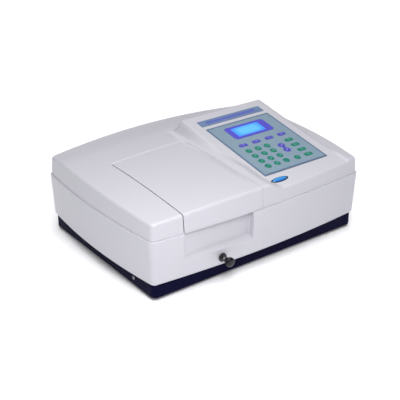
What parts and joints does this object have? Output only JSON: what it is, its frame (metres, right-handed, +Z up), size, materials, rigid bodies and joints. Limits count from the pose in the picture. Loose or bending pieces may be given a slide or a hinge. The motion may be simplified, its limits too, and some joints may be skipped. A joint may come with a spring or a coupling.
{
  "type": "spectrophotometer",
  "caption": "Bench spectrophotometer with a hinged sample lid, a tilted keypad console with a display, and a pull-rod cell carriage.",
  "frame": {"origin": "centre of the footprint, on the surface that the feet stand on", "axes": "+X to the instrument's right, +Y to its back, +Z up; the console is on the +X side and the pull rod faces -Y"},
  "size_m": [0.4938, 0.3926, 0.1894],
  "materials": {
    "base_tray": "satin dark navy powder coat",
    "foot": "matt",
    "white_plastic": "fine texture, satin",
    "black_plastic": "satin",
    "panel_blue": "printed film",
    "strip_blue": "printed film",
    "bezel_violet": "printed film",
    "screen": "lit display glass",
    "green_key": "soft key",
    "violet_key": "soft key",
    "badge": "domed resin",
    "steel": "turned",
    "aluminium": "bead blasted",
    "black_anodised": "black anodised",
    "zinc": "zinc plated sheet",
    "board": "circuit board"
  },
  "bodies": {
    "instrument": {"base_tray": "base_tray", "foot_front_left": "foot", "foot_front_right": "foot", "foot_rear_left": "foot", "foot_rear_right": "foot", "lower_housing": "white_plastic", "upper_cover": "white_plastic", "rod_bush": "black_plastic", "power_inlet": "black_plastic", "fan_frame": "black_plastic", "keypad_panel": "panel_blue", "header_strip": "strip_blue", "lcd_bezel": "bezel_violet", "lcd_window": "screen", "badge": "badge", "carriage_rail": "steel", "hinge_bracket_left": "zinc", "hinge_bracket_right": "zinc", "rear_panel": "zinc", "serial_port": "zinc", "power_supply": "zinc", "sample_compartment": "black_anodised", "detector_box": "black_anodised", "monochromator_housing": "aluminium", "lamp_house": "aluminium", "main_board": "board"},
    "lid": {"sample_lid": "white_plastic", "lid_hood": "black_plastic", "hinge_arm_left": "steel", "hinge_arm_right": "steel"},
    "carriage": {"cell_carriage": "black_anodised", "pull_rod": "steel", "pull_knob": "black_plastic"},
    "rocker": {"rocker_switch": "black_plastic"},
    "grating": {"grating_mount": "steel"},
    "wheel": {"filter_wheel": "black_anodised"},
    "fan": {"fan_rotor": "black_plastic"},
    "key_digit_1_1_body": {"key_digit_1_1": "green_key"},
    "key_digit_1_2_body": {"key_digit_1_2": "green_key"},
    "key_digit_1_3_body": {"key_digit_1_3": "green_key"},
    "key_digit_2_1_body": {"key_digit_2_1": "green_key"},
    "key_digit_2_2_body": {"key_digit_2_2": "green_key"},
    "key_digit_2_3_body": {"key_digit_2_3": "green_key"},
    "key_digit_3_1_body": {"key_digit_3_1": "green_key"},
    "key_digit_3_2_body": {"key_digit_3_2": "green_key"},
    "key_digit_3_3_body": {"key_digit_3_3": "green_key"},
    "key_digit_4_1_body": {"key_digit_4_1": "green_key"},
    "key_digit_4_2_body": {"key_digit_4_2": "green_key"},
    "key_digit_4_3_body": {"key_digit_4_3": "green_key"},
    "key_mode_1_body": {"key_mode_1": "green_key"},
    "key_mode_2_body": {"key_mode_2": "green_key"},
    "key_mode_3_body": {"key_mode_3": "green_key"},
    "key_mode_4_body": {"key_mode_4": "green_key"},
    "key_function_1_body": {"key_function_1": "violet_key"},
    "key_function_2_body": {"key_function_2": "violet_key"},
    "key_function_3_body": {"key_function_3": "violet_key"},
    "key_function_4_body": {"key_function_4": "violet_key"},
    "key_extra_body": {"key_extra": "green_key"},
    "key_arrow_up_body": {"key_arrow_up": "violet_key"},
    "key_arrow_down_body": {"key_arrow_down": "violet_key"}
  },
  "joints": [
    {"name": "lid_hinge", "type": "hinge", "parent": "instrument", "child": "lid", "pos_m": [-0.09, 0.0859, 0.153], "axis": [-1, 0, 0], "range_deg": [0, 95]},
    {"name": "carriage_slide", "type": "slide", "parent": "instrument", "child": "carriage", "axis": [0, -1, 0], "range_m": [0, 0.045]},
    {"name": "rocker_tip", "type": "hinge", "parent": "instrument", "child": "rocker", "pos_m": [-0.089, 0.1799, 0.073], "axis": [-1, 0, 0], "range_deg": [0, 20]},
    {"name": "grating_turn", "type": "hinge", "parent": "instrument", "child": "grating", "pos_m": [0.148, 0.0249, 0.045], "axis": [0, 0, 1], "range_deg": [-25, 25]},
    {"name": "wheel_turn", "type": "hinge", "parent": "instrument", "child": "wheel", "pos_m": [0.132, 0.0769, 0.067], "axis": [0, 1, 0], "continuous": true},
    {"name": "fan_spin", "type": "hinge", "parent": "instrument", "child": "fan", "pos_m": [0.12, 0.1679, 0.073], "axis": [0, 1, 0], "continuous": true},
    {"name": "press_digit_1_1", "type": "slide", "parent": "instrument", "child": "key_digit_1_1_body", "axis": [0, 0.1771, -0.9842], "range_m": [0, 0.0005], "stiffness_N_per_m": 300},
    {"name": "press_digit_1_2", "type": "slide", "parent": "instrument", "child": "key_digit_1_2_body", "axis": [0, 0.1771, -0.9842], "range_m": [0, 0.0005], "stiffness_N_per_m": 300},
    {"name": "press_digit_1_3", "type": "slide", "parent": "instrument", "child": "key_digit_1_3_body", "axis": [0, 0.1771, -0.9842], "range_m": [0, 0.0005], "stiffness_N_per_m": 300},
    {"name": "press_digit_2_1", "type": "slide", "parent": "instrument", "child": "key_digit_2_1_body", "axis": [0, 0.1771, -0.9842], "range_m": [0, 0.0005], "stiffness_N_per_m": 300},
    {"name": "press_digit_2_2", "type": "slide", "parent": "instrument", "child": "key_digit_2_2_body", "axis": [0, 0.1771, -0.9842], "range_m": [0, 0.0005], "stiffness_N_per_m": 300},
    {"name": "press_digit_2_3", "type": "slide", "parent": "instrument", "child": "key_digit_2_3_body", "axis": [0, 0.1771, -0.9842], "range_m": [0, 0.0005], "stiffness_N_per_m": 300},
    {"name": "press_digit_3_1", "type": "slide", "parent": "instrument", "child": "key_digit_3_1_body", "axis": [0, 0.1771, -0.9842], "range_m": [0, 0.0005], "stiffness_N_per_m": 300},
    {"name": "press_digit_3_2", "type": "slide", "parent": "instrument", "child": "key_digit_3_2_body", "axis": [0, 0.1771, -0.9842], "range_m": [0, 0.0005], "stiffness_N_per_m": 300},
    {"name": "press_digit_3_3", "type": "slide", "parent": "instrument", "child": "key_digit_3_3_body", "axis": [0, 0.1771, -0.9842], "range_m": [0, 0.0005], "stiffness_N_per_m": 300},
    {"name": "press_digit_4_1", "type": "slide", "parent": "instrument", "child": "key_digit_4_1_body", "axis": [0, 0.1771, -0.9842], "range_m": [0, 0.0005], "stiffness_N_per_m": 300},
    {"name": "press_digit_4_2", "type": "slide", "parent": "instrument", "child": "key_digit_4_2_body", "axis": [0, 0.1771, -0.9842], "range_m": [0, 0.0005], "stiffness_N_per_m": 300},
    {"name": "press_digit_4_3", "type": "slide", "parent": "instrument", "child": "key_digit_4_3_body", "axis": [0, 0.1771, -0.9842], "range_m": [0, 0.0005], "stiffness_N_per_m": 300},
    {"name": "press_mode_1", "type": "slide", "parent": "instrument", "child": "key_mode_1_body", "axis": [0, 0.1771, -0.9842], "range_m": [0, 0.0005], "stiffness_N_per_m": 300},
    {"name": "press_mode_2", "type": "slide", "parent": "instrument", "child": "key_mode_2_body", "axis": [0, 0.1771, -0.9842], "range_m": [0, 0.0005], "stiffness_N_per_m": 300},
    {"name": "press_mode_3", "type": "slide", "parent": "instrument", "child": "key_mode_3_body", "axis": [0, 0.1771, -0.9842], "range_m": [0, 0.0005], "stiffness_N_per_m": 300},
    {"name": "press_mode_4", "type": "slide", "parent": "instrument", "child": "key_mode_4_body", "axis": [0, 0.1771, -0.9842], "range_m": [0, 0.0005], "stiffness_N_per_m": 300},
    {"name": "press_function_1", "type": "slide", "parent": "instrument", "child": "key_function_1_body", "axis": [0, 0.1771, -0.9842], "range_m": [0, 0.0005], "stiffness_N_per_m": 300},
    {"name": "press_function_2", "type": "slide", "parent": "instrument", "child": "key_function_2_body", "axis": [0, 0.1771, -0.9842], "range_m": [0, 0.0005], "stiffness_N_per_m": 300},
    {"name": "press_function_3", "type": "slide", "parent": "instrument", "child": "key_function_3_body", "axis": [0, 0.1771, -0.9842], "range_m": [0, 0.0005], "stiffness_N_per_m": 300},
    {"name": "press_function_4", "type": "slide", "parent": "instrument", "child": "key_function_4_body", "axis": [0, 0.1771, -0.9842], "range_m": [0, 0.0005], "stiffness_N_per_m": 300},
    {"name": "press_extra", "type": "slide", "parent": "instrument", "child": "key_extra_body", "axis": [0, 0.1771, -0.9842], "range_m": [0, 0.0005], "stiffness_N_per_m": 300},
    {"name": "press_arrow_up", "type": "slide", "parent": "instrument", "child": "key_arrow_up_body", "axis": [0, 0.1771, -0.9842], "range_m": [0, 0.0005], "stiffness_N_per_m": 300},
    {"name": "press_arrow_down", "type": "slide", "parent": "instrument", "child": "key_arrow_down_body", "axis": [0, 0.1771, -0.9842], "range_m": [0, 0.0005], "stiffness_N_per_m": 300}
  ]
}
